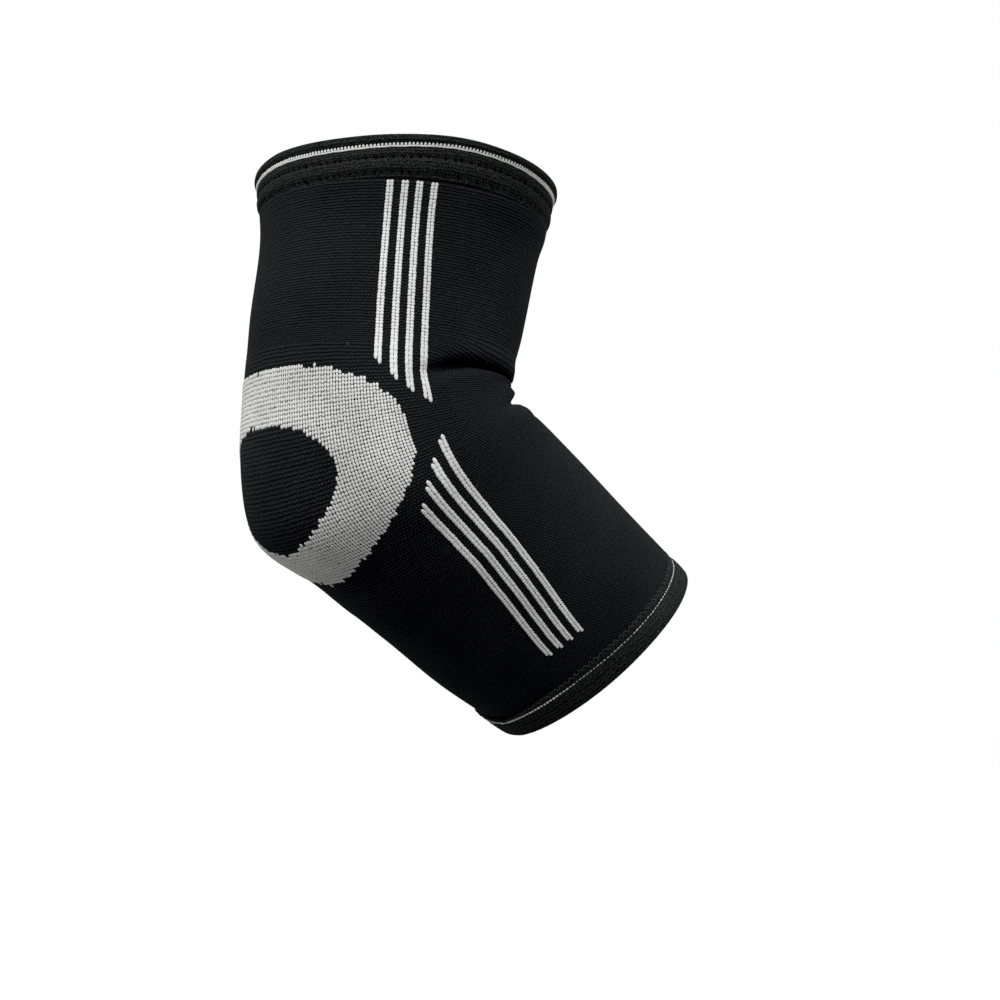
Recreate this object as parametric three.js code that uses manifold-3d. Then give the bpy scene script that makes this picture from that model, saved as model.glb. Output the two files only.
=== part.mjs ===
import * as THREE from 'three';
import Module from 'manifold-3d';

// Elbow brace: a knitted tube with a folded hem at each end, bent as it is when worn.
// The bend lies in the XZ plane. The back of the elbow faces -X, the upper stretch goes up and the
// lower one goes down towards +X. The origin is on the centre line, in the middle of the bend.
// Lengths are millimetres and angles are degrees.
//
// A place along the tube, called at in the tables, is 0 at the upper rim, 1 where the bend starts,
// 2 where the bend ends and 3 at the lower rim. The functions take it as a distance from the rim.

// Bent tube
const upperLength = 63;        // straight centre line above the bend
const forearmLength = 73.8;    // straight centre line below the bend
const bendRadius = 45.5;       // centre line through the elbow
const bendAngle = 61;          // how far the elbow is bent
const upperLean = 5;           // the upper stretch's lean from upright, towards +X
const upperRadius = 47;        // mean radius of the upper opening
const elbowRadius = 45;        // mean radius at the elbow
const forearmRadius = 40;      // mean radius of the lower opening

// Fabric
const knitWall = 2;            // knitted wall
const hemmedWall = 1;          // the same wall, pressed flat inside a hem
const pieceGap = 0.3;          // clearance between neighbouring pieces
const yarnProud = 0.15;        // light yarn stands this far above the dark knit
const yarnDepth = 0.7;         // light yarn reaches this far below the dark surface

// Hems
const upperCuffHeight = 12.4;
const lowerCuffHeight = 10.4;
const cuffLeg = 1;             // thickness of the folded hem band
const cuffPuff = 0.65;         // the beads of a hem stand this far out
const upperLineDrop = 3.3;     // white line's middle, below the upper rim
const lowerLineDrop = 7;       // white line's middle, above the lower rim
const accentLineHeight = 1.2;
const accentLineThickness = 0.5;
const liningShare = 0.9;       // height of a hem's inner leg, as a share of the outer leg's

// Light stripes
const stripeWidth = 2.3;
const stripeHemGap = 0.4;      // from the upper hem's edge to the stripes

// Mesh fineness
const aroundSteps = 36;
const ringSteps = 36;
const ringAcrossSteps = 3;
const rimSteps = 4;
const stripeStep = 14;         // length of a stripe's faces

// One row for each section of the tube. back, crook and side are half-widths towards the elbow's
// back, towards the crook and sideways, as shares of the local radius. The rest are degrees: tilt
// slants the section in the bend's plane and skew sideways, twist turns the fabric's back midline
// and drift spreads the wales from it.
const sections = [
  { at: 0.00, back: 0.985, crook: 1.035, side: 1.075, tilt: 1, skew: 0, twist: 0, drift: -2 },
  { at: 0.35, back: 0.945, crook: 0.975, side: 0.945, tilt: 1, skew: 0, twist: 0, drift: 0 },
  { at: 0.76, back: 0.985, crook: 0.885, side: 0.925, tilt: 0.5, skew: 0, twist: 0, drift: 2 },
  { at: 1.12, back: 1.015, crook: 0.775, side: 0.945, tilt: 0, skew: 0, twist: 0, drift: 3 },
  { at: 1.50, back: 1.15, crook: 0.835, side: 1.025, tilt: 0, skew: 0, twist: 1.5, drift: 3 },
  { at: 1.88, back: 0.985, crook: 0.945, side: 1.03, tilt: -2, skew: 0, twist: 0.5, drift: 4.4 },
  { at: 2.21, back: 0.975, crook: 0.97, side: 1.015, tilt: -4.5, skew: -1.5, twist: -2.2, drift: 4 },
  { at: 2.60, back: 1.01, crook: 0.96, side: 1.015, tilt: -8, skew: -4, twist: -0.8, drift: -3.8 },
  { at: 3.00, back: 0.98, crook: 0.96, side: 1.02, tilt: -11, skew: -8, twist: -0.5, drift: -9 },
];

// Swells and creases. at is the place on the crook's midline. slant moves it by the time it is a
// right angle round the side, out is its height, below 0 for a crease, and along its half-width,
// all as shares of the elbow's radius. middle, reach and fade are degrees round the tube: a fold
// ends at reach from its middle, and fades over the last part of that.
const folds = [
  { name: 'elbow point', at: 1.60, slant: 0, out: 0.08, along: 0.156, middle: 0, reach: 90, fade: 90 },
  { name: 'upper swell', at: 1.08, slant: -0.115, out: 0.04, along: 0.082, middle: 180, reach: 108, fade: 60 },
  { name: 'upper crease', at: 1.175, slant: -0.111, out: -0.085, along: 0.045, middle: 180, reach: 108, fade: 40 },
  { name: 'middle swell', at: 1.265, slant: -0.041, out: 0.03, along: 0.058, middle: 180, reach: 85, fade: 85 },
  { name: 'lower crease', at: 1.363, slant: 0.033, out: -0.11, along: 0.054, middle: 180, reach: 80, fade: 80 },
  { name: 'forearm swell', at: 1.585, slant: 0.041, out: 0.05, along: 0.185, middle: 180, reach: 90, fade: 90 },
];

// Rows of faces along the tube: each band ends at this place.
const outerBands = [
  { to: 0.26, steps: 1 }, { to: 1.0, steps: 5 }, { to: 1.5, steps: 14 },
  { to: 2.0, steps: 5 }, { to: 2.82, steps: 6 },
];
const innerBands = [
  { to: 1.0, steps: 3 }, { to: 1.5, steps: 7 }, { to: 2.0, steps: 3 }, { to: 2.82, steps: 3 },
];

// The light ring over the elbow: its edges are closed curves round a middle on the fabric's back
// midline. up and down are shares of the elbow's radius, half is a share of half the way round,
// and the roundness numbers are the curve's power above and below its middle (2 is an ellipse).
const ring = {
  at: 1.434,
  outer: { up: 0.389, down: 0.4, half: 0.341, roundUp: 3.2, roundDown: 1.55 },
  inner: { up: 0.2, down: 0.22, half: 0.191, roundUp: 2.3, roundDown: 1.55 },
};

// Stripes: wale is the place round the tube, as a share of half the way round from the back's
// midline. The upper ones start at the hem, and the rest are places along the tube.
const stripes = [
  { wale: 0.295, upperTo: 1.057, lowerFrom: 1.682, lowerTo: 2.642 },
  { wale: 0.327, upperTo: 1.123, lowerFrom: 1.608, lowerTo: 2.647 },
  { wale: 0.358, upperTo: 1.181, lowerFrom: 1.532, lowerTo: 2.65 },
  { wale: 0.390, upperTo: 1.237, lowerFrom: 1.445, lowerTo: 2.655 },
];

// Hem profiles, from the fold at the rim to the free edge. along is a share of the hem's height
// and out a share of the bead height.
const upperBeads = [
  { along: 0.15, out: 1.0 }, { along: 0.40, out: 0.85 }, { along: 0.56, out: 0.75 },
  { along: 0.61, out: 0.1 }, { along: 0.68, out: 0.85 }, { along: 0.84, out: 0.85 },
  { along: 0.92, out: 0.2 },
];
const lowerBeads = [
  { along: 0.22, out: 1.0 }, { along: 0.50, out: 0.95 }, { along: 0.80, out: 0.55 },
  { along: 0.88, out: 0.1 },
];

const rad = THREE.MathUtils.degToRad;
const bendLength = bendRadius * rad(bendAngle);
const stretches = [upperLength, bendLength, forearmLength];
const fullLength = upperLength + bendLength + forearmLength;

// Distance from the upper rim to a place along the tube.
function distanceTo(at) {
  return stretches.reduce((sum, length, i) => sum + length * THREE.MathUtils.clamp(at - i, 0, 1), 0);
}

const located = (rows) => rows.map((row) => ({ ...row, distance: distanceTo(row.at) }));
const stations = located(sections);
const creases = located(folds);
const radii = located([
  { at: 0, radius: upperRadius }, { at: 1.5, radius: elbowRadius }, { at: 3, radius: forearmRadius },
]);

// Smooth curve through one column of a table, with slopes taken from the neighbouring rows.
function column(rows, name, distance) {
  const last = rows.length - 1;
  let i = 0;
  while (i < last - 1 && distance > rows[i + 1].distance) i += 1;
  const slope = (k) => {
    const a = rows[Math.max(k - 1, 0)];
    const b = rows[Math.min(k + 1, last)];
    return (b[name] - a[name]) / (b.distance - a.distance);
  };
  const span = rows[i + 1].distance - rows[i].distance;
  const t = (distance - rows[i].distance) / span;
  const rise = t * t * (3 - 2 * t);
  const start = rows[i][name] * (1 - rise) + rows[i + 1][name] * rise;
  return start + span * (slope(i) * t * (1 - t) * (1 - t) - slope(i + 1) * t * t * (1 - t));
}

// The centre line at a distance below the upper rim: its point, its direction down the tube and
// the direction towards the elbow's back.
function centreLine(distance) {
  const fromMiddle = distance - upperLength - bendLength / 2;
  const inBend = THREE.MathUtils.clamp(fromMiddle, -bendLength / 2, bendLength / 2);
  const heading = rad(-90 - upperLean + bendAngle / 2);
  const turned = heading + inBend / bendRadius;
  const beyond = fromMiddle - inBend;
  const x = bendRadius * (Math.sin(turned) - Math.sin(heading)) + beyond * Math.cos(turned);
  const z = bendRadius * (Math.cos(heading) - Math.cos(turned)) + beyond * Math.sin(turned);
  return {
    point: new THREE.Vector3(x, 0, z),
    along: new THREE.Vector3(Math.cos(turned), 0, Math.sin(turned)),
    back: new THREE.Vector3(Math.sin(turned), 0, -Math.cos(turned)),
  };
}

// Height that the folds add at a distance along the tube and an angle from the elbow's back.
function foldHeight(distance, angle) {
  const fromCrook = (180 - Math.abs(angle)) / 90;
  let height = 0;
  for (const crease of creases) {
    const away = Math.abs(Math.abs(angle) - crease.middle);
    const fade = THREE.MathUtils.clamp((crease.reach - away) / crease.fade, 0, 1);
    const middle = crease.distance + crease.slant * elbowRadius * fromCrook;
    const offset = (distance - middle) / (crease.along * elbowRadius);
    height += crease.out * elbowRadius * Math.exp(-offset * offset) * fade * fade * (3 - 2 * fade);
  }
  return height;
}

// A point of the tube: at a distance along it, at an angle from the elbow's back, and at a height
// above the fabric's outer surface.
function tubePoint(distance, angle, height) {
  const line = centreLine(distance);
  const radius = column(radii, 'radius', distance);
  const turn = rad(angle);
  const depth = column(stations, Math.cos(turn) > 0 ? 'back' : 'crook', distance) * radius;
  const side = column(stations, 'side', distance) * radius;
  const outward = new THREE.Vector2(Math.cos(turn) / depth, Math.sin(turn) / side).normalize();
  const lift = height + foldHeight(distance, angle);
  const towardsBack = depth * Math.cos(turn) + outward.x * lift;
  const sideways = side * Math.sin(turn) + outward.y * lift;
  const slide = towardsBack * Math.tan(rad(column(stations, 'tilt', distance)))
    + sideways * Math.tan(rad(column(stations, 'skew', distance)));
  return line.point.clone()
    .addScaledVector(line.back, towardsBack)
    .addScaledVector(line.along, slide)
    .add(new THREE.Vector3(0, -sideways, 0));
}

// The angle of a wale, given as a share of half the way round from the fabric's back midline.
function waleAngle(wale, distance) {
  const spread = column(stations, 'drift', distance) * Math.sin(Math.PI * wale);
  return wale * 180 + spread + column(stations, 'twist', distance);
}

// Closed body through rows of points. Each row is a closed loop. The rows close on each other as
// well, or end in flat fans.
function loopBody(rows, closed) {
  const count = rows[0].length;
  const positions = rows.flat().flatMap((p) => [p.x, p.y, p.z]);
  const index = [];
  const joins = closed ? rows.length : rows.length - 1;
  for (let i = 0; i < joins; i += 1) {
    const here = i * count;
    const next = ((i + 1) % rows.length) * count;
    for (let j = 0; j < count; j += 1) {
      const k = (j + 1) % count;
      index.push(here + j, next + j, next + k, here + j, next + k, here + k);
    }
  }
  if (!closed) {
    const end = (rows.length - 1) * count;
    for (let j = 1; j < count - 1; j += 1) {
      index.push(0, j, j + 1);
      index.push(end, end + j + 1, end + j);
    }
  }
  const geometry = new THREE.BufferGeometry();
  geometry.setAttribute('position', new THREE.Float32BufferAttribute(positions, 3));
  geometry.setIndex(index);
  if (enclosedVolume(geometry) < 0) geometry.setIndex(index.slice().reverse());
  return geometry;
}

// Volume inside a closed mesh, negative when its faces point inwards.
function enclosedVolume(geometry) {
  const index = geometry.getIndex();
  const position = geometry.getAttribute('position');
  const corner = (i) => new THREE.Vector3().fromBufferAttribute(position, index.getX(i));
  let volume = 0;
  for (let i = 0; i < index.count; i += 3) {
    volume += corner(i).dot(corner(i + 1).cross(corner(i + 2))) / 6;
  }
  return volume;
}

// Closed body round the whole tube, from a closed profile of distances and heights.
function aroundTube(profile) {
  const rows = profile.map(({ distance, height }) => {
    const row = [];
    for (let j = 0; j < aroundSteps; j += 1) {
      row.push(tubePoint(distance, (360 * j) / aroundSteps, height));
    }
    return row;
  });
  return loopBody(rows, true);
}

// Distances from start to finish, in bands of even steps.
function bandStops(bands, start, finish) {
  const stops = [start];
  const ends = [...bands.map(({ to, steps }) => ({ to: distanceTo(to), steps })), { to: finish, steps: 1 }];
  let from = start;
  for (const { to, steps } of ends) {
    for (let i = 1; i <= steps; i += 1) stops.push(from + ((to - from) * i) / steps);
    from = to;
  }
  return stops;
}

// The knitted tube. Inside each hem its outer face sinks, so that the wall is the pressed one.
function makeSleeve() {
  const upperRim = cuffLeg + pieceGap;
  const lowerRim = fullLength - upperRim;
  const upperEdge = upperCuffHeight;
  const lowerEdge = fullLength - lowerCuffHeight;
  const sunk = hemmedWall - knitWall;
  const outer = bandStops(outerBands, upperEdge + cuffLeg, lowerEdge - cuffLeg);
  const inner = bandStops(innerBands, upperRim, lowerRim);
  return aroundTube([
    { distance: upperRim, height: sunk }, { distance: upperEdge, height: sunk },
    ...outer.map((distance) => ({ distance, height: 0 })),
    { distance: lowerEdge, height: sunk }, { distance: lowerRim, height: sunk },
    ...inner.reverse().map((distance) => ({ distance, height: -knitWall })),
  ]);
}

// Turns a drop from the rim into a distance. rim is 'upper' or 'lower'.
const fromRim = (rim, drop) => (rim === 'upper' ? drop : fullLength - drop);

// A folded hem band: a U round the sleeve's edge, with a groove for the light line.
function makeCuff(rim, legHeight, beads, lineDrop) {
  const grooveHalf = accentLineHeight / 2 + pieceGap;
  const grooveFloor = cuffPuff - accentLineThickness - pieceGap;
  const outside = beads.map(({ along, out }) => ({ drop: along * legHeight, height: out * cuffPuff }));
  const beforeGroove = outside.filter(({ drop }) => drop < lineDrop - grooveHalf);
  const afterGroove = outside.filter(({ drop }) => drop > lineDrop + grooveHalf);
  const edge = legHeight - pieceGap;
  const seat = hemmedWall - knitWall + pieceGap;
  const innerFace = -knitWall - pieceGap;
  const lining = innerFace - cuffLeg;
  const liningEdge = legHeight * liningShare;
  const profile = [
    ...beforeGroove,
    { drop: lineDrop - grooveHalf, height: cuffPuff }, { drop: lineDrop - grooveHalf, height: grooveFloor },
    { drop: lineDrop + grooveHalf, height: grooveFloor }, { drop: lineDrop + grooveHalf, height: cuffPuff },
    ...afterGroove,
    { drop: edge, height: 0 }, { drop: edge, height: seat },
    { drop: cuffLeg, height: seat }, { drop: cuffLeg, height: innerFace },
    { drop: liningEdge, height: innerFace }, { drop: liningEdge, height: lining },
  ];
  for (let i = 0; i <= rimSteps; i += 1) {
    const turn = (Math.PI * i) / rimSteps;
    const height = THREE.MathUtils.lerp(lining, cuffPuff, (1 - Math.cos(turn)) / 2);
    profile.push({ drop: cuffLeg * (1 - Math.sin(turn)), height });
  }
  return aroundTube(profile.map(({ drop, height }) => ({ distance: fromRim(rim, drop), height })));
}

// The thin light line in a hem's groove.
function makeAccentLine(rim, lineDrop) {
  const near = fromRim(rim, lineDrop - accentLineHeight / 2);
  const far = fromRim(rim, lineDrop + accentLineHeight / 2);
  const floor = cuffPuff - accentLineThickness;
  return aroundTube([
    { distance: near, height: cuffPuff }, { distance: far, height: cuffPuff },
    { distance: far, height: floor }, { distance: near, height: floor },
  ]);
}

// A point of one edge of the ring, at an angle round the ring. grow widens the edge, in mm.
function ringEdge(edge, angle, grow) {
  const c = Math.cos(angle);
  const s = Math.sin(angle);
  const reach = (s > 0 ? edge.up : edge.down) * elbowRadius + grow;
  const power = 2 / (s > 0 ? edge.roundUp : edge.roundDown);
  const half = edge.half + grow / (Math.PI * elbowRadius);
  return {
    distance: distanceTo(ring.at) - Math.sign(s) * Math.abs(s) ** power * reach,
    wale: Math.sign(c) * Math.abs(c) ** power * half,
  };
}

// The ring between its two edges. grow widens it all round, and top and floor are its heights.
function makeRing(grow, top, floor) {
  const rows = [];
  for (let i = 0; i < ringSteps; i += 1) {
    const angle = (2 * Math.PI * (i + 0.5)) / ringSteps;
    const inside = ringEdge(ring.inner, angle, -grow);
    const outside = ringEdge(ring.outer, angle, grow);
    const across = (t, height) => {
      const distance = THREE.MathUtils.lerp(inside.distance, outside.distance, t);
      const wale = THREE.MathUtils.lerp(inside.wale, outside.wale, t);
      return tubePoint(distance, waleAngle(wale, distance), height);
    };
    const row = [];
    for (let k = 0; k <= ringAcrossSteps; k += 1) row.push(across(k / ringAcrossSteps, top));
    for (let k = ringAcrossSteps; k >= 0; k -= 1) row.push(across(k / ringAcrossSteps, floor));
    rows.push(row);
  }
  return loopBody(rows, true);
}

// A stripe along a wale. grow widens it all round, and top and floor are its heights.
function makeStripe(wale, from, to, grow, top, floor) {
  const start = from - grow;
  const finish = to + grow;
  const half = (stripeWidth / 2 + grow) / (Math.PI * elbowRadius);
  const steps = Math.ceil((finish - start) / stripeStep);
  const rows = [];
  for (let i = 0; i <= steps; i += 1) {
    const distance = THREE.MathUtils.lerp(start, finish, i / steps);
    const left = waleAngle(wale - half, distance);
    const right = waleAngle(wale + half, distance);
    rows.push([
      tubePoint(distance, left, top), tubePoint(distance, right, top),
      tubePoint(distance, right, floor), tubePoint(distance, left, floor),
    ]);
  }
  return loopBody(rows, false);
}

// All stripes, as named bodies: four above and four below the elbow on each side.
function makeStripes(grow, top, floor) {
  const bodies = [];
  const upperFrom = upperCuffHeight + cuffLeg + stripeHemGap;
  for (const [sideName, side] of [['right', 1], ['left', -1]]) {
    stripes.forEach((stripe, i) => {
      const wale = side * stripe.wale;
      const lowerFrom = distanceTo(stripe.lowerFrom);
      const lowerTo = distanceTo(stripe.lowerTo);
      const upper = makeStripe(wale, upperFrom, distanceTo(stripe.upperTo), grow, top, floor);
      const lower = makeStripe(wale, lowerFrom, lowerTo, grow, top, floor);
      bodies.push({ name: `upper_stripe_${sideName}_${i + 1}`, geometry: upper });
      bodies.push({ name: `lower_stripe_${sideName}_${i + 1}`, geometry: lower });
    });
  }
  return bodies;
}

// The sleeve with a shallow pocket under each light piece.
async function cutPockets(sleeve, tools) {
  const wasm = await Module();
  wasm.setup();
  const toSolid = (geometry) => new wasm.Manifold(new wasm.Mesh({
    numProp: 3,
    vertProperties: new Float32Array(geometry.getAttribute('position').array),
    triVerts: new Uint32Array(geometry.getIndex().array),
  }));
  let solid = toSolid(sleeve);
  for (const tool of tools) solid = solid.subtract(toSolid(tool));
  const mesh = solid.getMesh();
  const geometry = new THREE.BufferGeometry();
  geometry.setAttribute('position', new THREE.BufferAttribute(mesh.vertProperties, 3));
  geometry.setIndex(new THREE.BufferAttribute(mesh.triVerts, 1));
  return geometry;
}

const materials = {
  knit: { color: 0x202426, roughness: 0.95, metalness: 0 },
  cuff: { color: 0x2d2f2e, roughness: 0.9, metalness: 0 },
  ringYarn: { color: 0xc6c8c4, roughness: 0.9, metalness: 0 },
  stripeYarn: { color: 0xdcdcd6, roughness: 0.9, metalness: 0 },
};

const group = new THREE.Group();

function addPiece(name, geometry, material) {
  geometry.computeVertexNormals();
  const mesh = new THREE.Mesh(geometry, new THREE.MeshStandardMaterial(materials[material]));
  mesh.name = name;
  group.add(mesh);
}

const pocketTop = knitWall;    // clear above the knit's surface
const pocketFloor = -yarnDepth - pieceGap;
const pockets = [
  makeRing(pieceGap, pocketTop, pocketFloor),
  ...makeStripes(pieceGap, pocketTop, pocketFloor).map(({ geometry }) => geometry),
];

addPiece('knit_sleeve', await cutPockets(makeSleeve(), pockets), 'knit');
addPiece('upper_cuff', makeCuff('upper', upperCuffHeight, upperBeads, upperLineDrop), 'cuff');
addPiece('lower_cuff', makeCuff('lower', lowerCuffHeight, lowerBeads, lowerLineDrop), 'cuff');
addPiece('upper_accent_line', makeAccentLine('upper', upperLineDrop), 'stripeYarn');
addPiece('lower_accent_line', makeAccentLine('lower', lowerLineDrop), 'stripeYarn');
addPiece('elbow_ring', makeRing(0, yarnProud, -yarnDepth), 'ringYarn');
for (const { name, geometry } of makeStripes(0, yarnProud, -yarnDepth)) {
  addPiece(name, geometry, 'stripeYarn');
}

export default group;
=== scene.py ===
"""Elbow brace, bent as when worn: the knitted tube, its hems, the light ring and the light stripes.

The frame's tube is worked out again here on finer grids, from the same sizes and tables. The bend
lies in the XZ plane, the back of the elbow faces -X and the origin is in the middle of the bend.
Lengths are millimetres until a mesh is made, and angles are degrees.
"""
import math

import bpy
import numpy as np
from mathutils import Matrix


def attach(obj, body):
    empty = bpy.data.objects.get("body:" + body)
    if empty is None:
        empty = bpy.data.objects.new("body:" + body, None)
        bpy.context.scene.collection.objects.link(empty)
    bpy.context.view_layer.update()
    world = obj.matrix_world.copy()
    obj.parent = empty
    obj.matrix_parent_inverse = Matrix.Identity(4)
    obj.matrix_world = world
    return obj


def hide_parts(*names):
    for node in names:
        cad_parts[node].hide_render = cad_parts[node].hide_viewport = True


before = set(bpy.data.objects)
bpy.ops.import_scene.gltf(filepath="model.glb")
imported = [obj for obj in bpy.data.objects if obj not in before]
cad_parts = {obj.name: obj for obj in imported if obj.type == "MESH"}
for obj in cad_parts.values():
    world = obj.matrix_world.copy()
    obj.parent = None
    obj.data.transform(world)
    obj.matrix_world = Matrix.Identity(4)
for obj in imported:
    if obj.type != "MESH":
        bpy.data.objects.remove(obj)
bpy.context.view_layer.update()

MM = 0.001

# Bent tube, as in the part's source
UPPER_LENGTH = 63.0
FOREARM_LENGTH = 73.8
BEND_RADIUS = 45.5
BEND_ANGLE = 61.0
UPPER_LEAN = 5.0
UPPER_RADIUS = 47.0
ELBOW_RADIUS = 45.0
FOREARM_RADIUS = 40.0
BEND_LENGTH = BEND_RADIUS * math.radians(BEND_ANGLE)
STRETCHES = (UPPER_LENGTH, BEND_LENGTH, FOREARM_LENGTH)
FULL_LENGTH = sum(STRETCHES)

# Fabric
KNIT_WALL = 2.0
HEMMED_WALL = 1.0
GAP = 0.3
UPPER_HEM = 12.4                # height of a hem band
LOWER_HEM = 10.4
HEM_LEG = 1.0                   # thickness of a hem's folded leg
LINING_SHARE = 0.9              # the inner leg's length, as a share of the band's
STRIPE_HEM_GAP = 0.4

# Stitches
WALES = 270
WALE = 2.0 / WALES              # one wale, as a share of half the way round
BODY_COURSE = 0.90              # height of a dark course
BEND_COURSES = 0.4              # share of courses more over the bend
BEND_MARGIN = 5.0               # how far beyond the bend they go on

# A place along the tube is 0 at the upper rim, 1 and 2 at the bend's ends and 3 at the lower rim.
SECTIONS = [
    dict(at=0.00, back=0.985, crook=1.035, side=1.075, tilt=1.0, skew=0.0, twist=0.0, drift=-2),
    dict(at=0.35, back=0.945, crook=0.975, side=0.945, tilt=1.0, skew=0.0, twist=0.0, drift=0),
    dict(at=0.76, back=0.985, crook=0.885, side=0.925, tilt=0.5, skew=0.0, twist=0.0, drift=2),
    dict(at=1.12, back=1.015, crook=0.775, side=0.945, tilt=0.0, skew=0.0, twist=0.0, drift=3),
    dict(at=1.50, back=1.150, crook=0.835, side=1.025, tilt=0.0, skew=0.0, twist=1.5, drift=3),
    dict(at=1.88, back=0.985, crook=0.945, side=1.030, tilt=-2.0, skew=0.0, twist=0.5, drift=4.4),
    dict(at=2.21, back=0.975, crook=0.970, side=1.015, tilt=-4.5, skew=-1.5, twist=-2.2, drift=4),
    dict(at=2.60, back=1.010, crook=0.960, side=1.015, tilt=-8.0, skew=-4.0, twist=-0.8, drift=-3.8),
    dict(at=3.00, back=0.980, crook=0.960, side=1.020, tilt=-11.0, skew=-8.0, twist=-0.5, drift=-9),
]

# Swells and creases. The first six are near the part's own. out, along and lip are shares of the
# elbow's radius, and lip is how far the fabric slides down over the crease below it. A fold with
# path follows CREASE_PATH, and the others slant evenly.
FOLDS = [
    dict(at=1.600, slant=0.000, out=0.080, along=0.156, middle=0, reach=90, fade=90, lip=0.0),
    dict(at=1.080, slant=-0.115, out=0.040, along=0.082, middle=180, reach=108, fade=60, lip=0.0),
    dict(at=1.175, path=True, out=-0.150, along=0.064, middle=180, reach=116, fade=36, lip=0.0),
    dict(at=1.232, slant=-0.041, out=0.060, along=0.080, middle=180, reach=85, fade=85, lip=0.0),
    dict(at=1.363, slant=0.033, out=-0.110, along=0.054, middle=180, reach=80, fade=80, lip=0.0),
    dict(at=1.585, slant=0.041, out=0.050, along=0.185, middle=180, reach=90, fade=90, lip=0.0),
    # finer folds of the render alone
    dict(at=0.240, slant=0.000, out=0.014, along=0.090, middle=180, reach=120, fade=60, lip=0.0),
    dict(at=0.640, slant=0.000, out=0.009, along=0.500, middle=0, reach=90, fade=90, lip=0.0),
    dict(at=2.400, slant=0.000, out=0.008, along=0.800, middle=0, reach=90, fade=90, lip=0.0),
    dict(at=1.120, path=True, out=0.048, along=0.044, middle=180, reach=118, fade=45, lip=0.080),
    dict(at=1.185, path=True, out=-0.070, along=0.038, middle=180, reach=106, fade=36, lip=0.0),
]

# How far the crease moves from its place towards the lower rim, in mm, by degrees from the back.
CREASE_PATH = [
    dict(angle=0, move=-2.0), dict(angle=60, move=-2.0), dict(angle=75, move=-3.6),
    dict(angle=85, move=-6.4), dict(angle=95, move=-8.4), dict(angle=107, move=-9.2),
    dict(angle=122, move=-9.5), dict(angle=147, move=-8.8), dict(angle=180, move=-7.8),
]

# The ring's middle, and its edges: how far they reach up and down as shares of the elbow's radius
# and to either side as a share of half the way round, and how square their corners are.
RING_AT = 1.434
RING_OUTER = dict(up=0.389, down=0.400, half=0.341, round_up=3.20, round_down=1.55)
RING_INNER = dict(up=0.200, down=0.220, half=0.191, round_up=2.30, round_down=1.55)

# Each stripe's middle as a share of half the way round, and where its two stretches end.
STRIPES = [
    dict(wale=0.295, upper_to=1.057, lower_from=1.682, lower_to=2.642),
    dict(wale=0.327, upper_to=1.123, lower_from=1.608, lower_to=2.647),
    dict(wale=0.358, upper_to=1.181, lower_from=1.532, lower_to=2.650),
    dict(wale=0.390, upper_to=1.237, lower_from=1.445, lower_to=2.655),
]

# Hem profiles, from the fold at the rim: drop from the rim and height above the knit, in mm, with
# hole for the share of a stitch hole's depth that the row has.
UPPER_PROFILE = [
    dict(drop=1.00, height=0.66, hole=0.0), dict(drop=1.60, height=0.78, hole=0.0),
    dict(drop=2.20, height=0.72, hole=0.0), dict(drop=2.70, height=0.46, hole=0.0),
    dict(drop=2.95, height=0.10, hole=0.0), dict(drop=3.10, height=-0.10, hole=0.0),
    dict(drop=4.35, height=-0.10, hole=0.0), dict(drop=4.60, height=0.14, hole=0.0),
    dict(drop=5.00, height=0.34, hole=0.0), dict(drop=5.70, height=0.42, hole=0.0),
    dict(drop=6.30, height=0.36, hole=0.1), dict(drop=6.70, height=0.20, hole=0.7),
    dict(drop=7.00, height=0.08, hole=1.0), dict(drop=7.30, height=0.20, hole=0.9),
    dict(drop=7.65, height=0.46, hole=0.2), dict(drop=8.20, height=0.62, hole=0.0),
    dict(drop=9.00, height=0.74, hole=0.0), dict(drop=9.90, height=0.70, hole=0.0),
    dict(drop=10.60, height=0.52, hole=0.0), dict(drop=11.00, height=0.36, hole=0.2),
    dict(drop=11.35, height=0.12, hole=0.8), dict(drop=11.65, height=0.04, hole=0.9),
    dict(drop=11.95, height=0.05, hole=0.5), dict(drop=12.35, height=0.05, hole=0.0),
    dict(drop=12.70, height=-0.10, hole=0.0), dict(drop=12.95, height=-0.35, hole=0.0),
]
LOWER_PROFILE = [
    dict(drop=1.00, height=0.62, hole=0.0), dict(drop=2.20, height=0.70, hole=0.0),
    dict(drop=3.60, height=0.72, hole=0.0), dict(drop=5.00, height=0.66, hole=0.0),
    dict(drop=6.10, height=0.50, hole=0.0), dict(drop=6.60, height=0.22, hole=0.0),
    dict(drop=6.95, height=0.00, hole=0.0), dict(drop=7.30, height=0.14, hole=0.0),
    dict(drop=7.90, height=0.32, hole=0.0), dict(drop=8.80, height=0.34, hole=0.0),
    dict(drop=9.70, height=0.22, hole=0.5), dict(drop=10.30, height=0.04, hole=0.0),
    dict(drop=10.80, height=-0.30, hole=0.0),
]

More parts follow.
